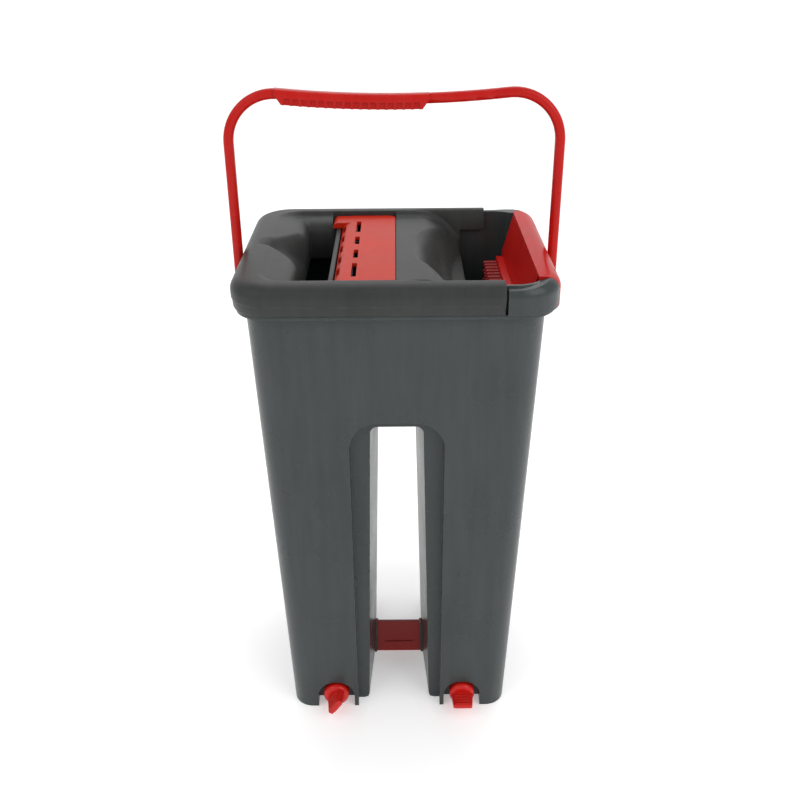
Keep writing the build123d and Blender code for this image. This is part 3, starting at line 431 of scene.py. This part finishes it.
def build_cover(made):
    """The cover's deck and its rim."""
    build_deck(made)
    build_rim(made)
    bmesh.ops.remove_doubles(made, verts=made.verts, dist=0.00001)
    bmesh.ops.recalc_face_normals(made, faces=made.faces)


# ------------------------------------------------------------------ settings
class MopBucketColours(bpy.types.PropertyGroup):
    bucket: bpy.props.StringProperty(
        name="Bucket", description="Colour of the bucket's moulding", default="#363C3C")
    cover: bpy.props.StringProperty(
        name="Cover", description="Colour of the snap-on cover", default="#363837")
    red: bpy.props.StringProperty(
        name="Red", description="Colour of the handle and the brush holder", default="#BE140E")
    panel: bpy.props.StringProperty(
        name="Panel", description="Colour of the wringer panel", default="#C6280A")


class MopBucketStudio(bpy.types.PropertyGroup):
    lens: bpy.props.FloatProperty(
        name="Lens", description="Camera's focal length in millimetres", default=42.5)
    pitch: bpy.props.FloatProperty(
        name="Pitch", description="How far the camera looks down",
        default=math.radians(27.19), subtype="ANGLE")
    yaw: bpy.props.FloatProperty(
        name="Yaw", description="How far the camera looks right",
        default=math.radians(0.12), subtype="ANGLE")
    roll: bpy.props.FloatProperty(
        name="Roll", description="How far the camera leans right",
        default=math.radians(0.41), subtype="ANGLE")
    eye: bpy.props.FloatVectorProperty(
        name="Eye", description="Where the camera stands",
        default=(0.0013, -0.7037, 0.628), subtype="TRANSLATION", unit="LENGTH")
    sky: bpy.props.FloatProperty(
        name="Sky", description="Strength of the white surroundings", default=0.62)
    key: bpy.props.FloatProperty(
        name="Key", description="Power that the soft lights share", default=11.0, unit="POWER")


# ------------------------------------------------------------------ pieces
class MOPBUCKET_OT_bucket(bpy.types.Operator):
    """Finishes the bucket's moulding"""
    bl_idname = "mopbucket.bucket"
    bl_label = "Bucket"

    def execute(self, context):
        colours = context.scene.mop_bucket_colours
        # satin moulded polypropylene: a dull grey with a broad soft gloss
        grey = moulded_plastic("Moulded polypropylene, slate grey", colours.bucket, "#313737", "#666C6C",
                               roughness=0.28, grain_mm=0.9, grain_deep_mm=0.04, round_mm=1.4)
        coat(grey, "bucket")
        return {"FINISHED"}


class MOPBUCKET_OT_cover(bpy.types.Operator):
    """Finishes the snap-on cover"""
    bl_idname = "mopbucket.cover"
    bl_label = "Cover"

    def execute(self, context):
        colours = context.scene.mop_bucket_colours
        # the same plastic from another mould: a neutral grey, duller, with softly rounded edges
        dark = moulded_plastic("Moulded polypropylene, graphite", colours.cover, "#303231", "#5C5E5D",
                               roughness=0.40, grain_mm=0.9, grain_deep_mm=0.05, round_mm=2.5, ior=1.30)
        coat(dark, "cover")
        deck = mesh_object("cover_moulding", build_cover)
        deck.data.materials.append(dark)
        deck.data.shade_smooth()
        edges = deck.modifiers.new("Crisp edges", "EDGE_SPLIT")
        edges.split_angle = math.radians(40)
        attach(deck, "cover_body")
        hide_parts("cover")
        return {"FINISHED"}


class MOPBUCKET_OT_wringer(bpy.types.Operator):
    """Finishes the wringer panel, its screws and the wiping strip"""
    bl_idname = "mopbucket.wringer"
    bl_label = "Wringer"

    def execute(self, context):
        colours = context.scene.mop_bucket_colours
        # unpainted polypropylene, slightly see-through, so that its red looks warmer
        panel = moulded_plastic("Moulded polypropylene, warm red", colours.panel, "#B82208", "#D65A48",
                                roughness=0.33, grain_mm=0.7, grain_deep_mm=0.02, round_mm=0.8, ior=1.22)
        coat(panel, "wringer_panel")
        # small bright spots where a screw head shows
        coat(zinc_plate("Zinc-plated steel", "#C9CCCD", "#9EA2A4"), "wringer_screws", "brush_screws")
        # a dull, nearly black edge in the shade of the slot
        coat(cast_elastomer("Soft elastomer strip", "#2A2C2C", "#202222"), "wiping_strip")
        return {"FINISHED"}


class MOPBUCKET_OT_brush(bpy.types.Operator):
    """Finishes the brush holder, its plate and its tufts"""
    bl_idname = "mopbucket.brush"
    bl_label = "Brush"

    def execute(self, context):
        colours = context.scene.mop_bucket_colours
        # red polypropylene that goes deep and dark inside the washing chamber
        red = moulded_plastic("Moulded polypropylene, signal red", colours.red, "#B3120D", "#CF4A42",
                              roughness=0.30, grain_mm=0.7, grain_deep_mm=0.02, round_mm=0.9, ior=1.22)
        coat(red, "brush_holder", "brush_plate")
        # bunched nylon filament: a deeper and duller red than the plate it stands on
        nylon = moulded_plastic("Nylon, signal red", "#9A100E", "#8C0E0C", "#C8443C",
                                roughness=0.38, grain_mm=0.5, grain_deep_mm=0.02, round_mm=0.4, ior=1.42)
        coat(nylon, *[f"brush_tufts_{row}" for row in range(1, 5)])
        return {"FINISHED"}


class MOPBUCKET_OT_handle(bpy.types.Operator):
    """Finishes the bail handle"""
    bl_idname = "mopbucket.handle"
    bl_label = "Handle"

    def execute(self, context):
        colours = context.scene.mop_bucket_colours
        # the glossiest red, polished by hands along the grip
        red = moulded_plastic("Moulded polypropylene, handle red", colours.red, "#B6120D", "#D24C42",
                              roughness=0.28, grain_mm=0.6, grain_deep_mm=0.015, round_mm=0.8, ior=1.28)
        coat(red, "carry_handle")
        return {"FINISHED"}


class MOPBUCKET_OT_feet(bpy.types.Operator):
    """Finishes the drain plugs, their seals and the leg tie"""
    bl_idname = "mopbucket.feet"
    bl_label = "Plugs and Leg Tie"

    def execute(self, context):
        colours = context.scene.mop_bucket_colours
        # a brighter red that stands out at the feet
        red = moulded_plastic("Moulded polypropylene, plug red", "#CE160F", "#C2140E", "#E05046",
                              roughness=0.30, grain_mm=0.6, grain_deep_mm=0.02, round_mm=0.7)
        coat(red, "drain_plug_left", "drain_plug_right")
        # a black ring round each plug
        seal = cast_elastomer("Soft elastomer seal", "#232525", "#1A1C1C")
        coat(seal, "drain_seal_left", "drain_seal_right")
        # the plug red made darker: painted shade for the shade between the legs
        dark = moulded_plastic("Moulded polypropylene, red with painted shade", "#A21810", "#92140E", "#B8443A",
                               roughness=0.30, grain_mm=0.7, grain_deep_mm=0.02, round_mm=0.7)
        coat(dark, "leg_tie")
        return {"FINISHED"}


class MOPBUCKET_OT_stage(bpy.types.Operator):
    """Makes the backdrop, the soft lights and the camera"""
    bl_idname = "mopbucket.stage"
    bl_label = "Stage"

    def execute(self, context):
        studio = context.scene.mop_bucket_studio
        backdrop = sweep_backdrop()
        backdrop.data.materials.append(backdrop_paper())
        world = bpy.data.worlds.new("White surroundings")
        world.use_nodes = True
        world.node_tree.nodes["Background"].inputs["Color"].default_value = linear("#FFFFFF")
        world.node_tree.nodes["Background"].inputs["Strength"].default_value = studio.sky
        context.scene.world = world
        bucket_middle = Vector((0, 0, 0.25))
        for name, spot, size, power in (
                ("Key softbox", (1.1, -1.0, 1.2), 1.2, studio.key * 0.8),
                ("Fill softbox", (-1.2, -1.0, 1.4), 1.1, studio.key * 0.45),
                ("Top softbox", (0.1, 0.7, 1.7), 1.2, studio.key * 0.55)):
            light = bpy.data.lights.new(name, "AREA")
            light.energy = power
            light.size = size
            lamp = bpy.data.objects.new(name, light)
            lamp.location = spot
            lamp.rotation_mode = "QUATERNION"
            lamp.rotation_quaternion = (bucket_middle - Vector(spot)).to_track_quat("-Z", "Y")
            context.collection.objects.link(lamp)
        context.scene.view_settings.view_transform = "Standard"
        context.scene.camera = studio_camera(context, studio)
        return {"FINISHED"}


def sweep_backdrop():
    """A pale sheet that lies flat under the bucket and rises in a smooth curve behind it."""
    flat_end = 1.6
    bend = 1.6
    steps = 24
    angles = [math.pi / 2 * step / steps for step in range(1, steps + 1)]
    profile = [(-3.0, 0.0), (flat_end, 0.0)]
    profile += [(flat_end + bend * math.sin(a), bend * (1 - math.cos(a))) for a in angles]
    profile += [(flat_end + bend, 5.0)]
    mesh = bpy.data.meshes.new("backdrop")
    made = bmesh.new()
    rows = [[made.verts.new((x, y, z)) for x in (-5.0, 5.0)] for y, z in profile]
    for lower, upper in zip(rows, rows[1:]):
        made.faces.new((lower[0], lower[1], upper[1], upper[0]))
    made.to_mesh(mesh)
    made.free()
    mesh.shade_smooth()
    backdrop = bpy.data.objects.new("backdrop", mesh)
    bpy.context.collection.objects.link(backdrop)
    return backdrop


def backdrop_paper():
    """White background paper, lit through from behind: matt, with a faint fibre mottle."""
    material, tree, output = blank_material("White background paper")
    place = add_node(tree, "TexCoord").outputs["Object"]
    colour = two_tone(tree, speckle(tree, place, 4, 4.0), "#F4F4F4", "#F8F8F8")
    shader = add_node(tree, "BsdfPrincipled",
                      {"Base Color": colour.outputs["Color"], "Emission Color": colour.outputs["Color"]},
                      {"Roughness": 0.9, "Specular IOR Level": 0.1, "Emission Strength": 0.36})
    tree.links.new(shader.outputs["BSDF"], output.inputs["Surface"])
    return material


def studio_camera(context, studio):
    """The camera, aimed by pitch, yaw and roll."""
    ahead = Vector((math.sin(studio.yaw) * math.cos(studio.pitch),
                    math.cos(studio.yaw) * math.cos(studio.pitch), -math.sin(studio.pitch)))
    level = Vector((math.cos(studio.yaw), -math.sin(studio.yaw), 0))
    down = ahead.cross(level)
    right = math.cos(studio.roll) * level + math.sin(studio.roll) * down
    up = math.sin(studio.roll) * level - math.cos(studio.roll) * down
    turn = Matrix((right, up, -ahead)).transposed()
    camera = bpy.data.cameras.new("Studio camera")
    camera.lens = studio.lens
    camera.sensor_width = 36.0
    holder = bpy.data.objects.new("Studio camera", camera)
    holder.matrix_world = Matrix.Translation(studio.eye) @ turn.to_4x4()
    context.collection.objects.link(holder)
    return holder


# ------------------------------------------------------------------ panel and registration
PIECES = (MOPBUCKET_OT_bucket, MOPBUCKET_OT_cover, MOPBUCKET_OT_wringer, MOPBUCKET_OT_brush,
          MOPBUCKET_OT_handle, MOPBUCKET_OT_feet, MOPBUCKET_OT_stage)


class MOPBUCKET_PT_tools(bpy.types.Panel):
    """Lists the pieces and their settings"""
    bl_idname = "MOPBUCKET_PT_tools"
    bl_label = "Mop Bucket"
    bl_space_type = "VIEW_3D"
    bl_region_type = "UI"
    bl_category = "Mop Bucket"

    def draw(self, context):
        scene = context.scene
        for name in ("bucket", "cover", "red", "panel"):
            self.layout.prop(scene.mop_bucket_colours, name)
        for name in ("lens", "pitch", "yaw", "roll", "eye", "sky", "key"):
            self.layout.prop(scene.mop_bucket_studio, name)
        for piece in PIECES:
            self.layout.operator(piece.bl_idname)


CLASSES = (MopBucketColours, MopBucketStudio, *PIECES, MOPBUCKET_PT_tools)


def register():
    for made in CLASSES:
        bpy.utils.register_class(made)
    bpy.types.Scene.mop_bucket_colours = bpy.props.PointerProperty(type=MopBucketColours)
    bpy.types.Scene.mop_bucket_studio = bpy.props.PointerProperty(type=MopBucketStudio)


def unregister():
    del bpy.types.Scene.mop_bucket_studio
    del bpy.types.Scene.mop_bucket_colours
    for made in reversed(CLASSES):
        bpy.utils.unregister_class(made)


def main():
    register()
    bpy.ops.mopbucket.bucket()
    bpy.ops.mopbucket.cover()
    bpy.ops.mopbucket.wringer()
    bpy.ops.mopbucket.brush()
    bpy.ops.mopbucket.handle()
    bpy.ops.mopbucket.feet()
    bpy.ops.mopbucket.stage()


if __name__ == "__main__":
    main()
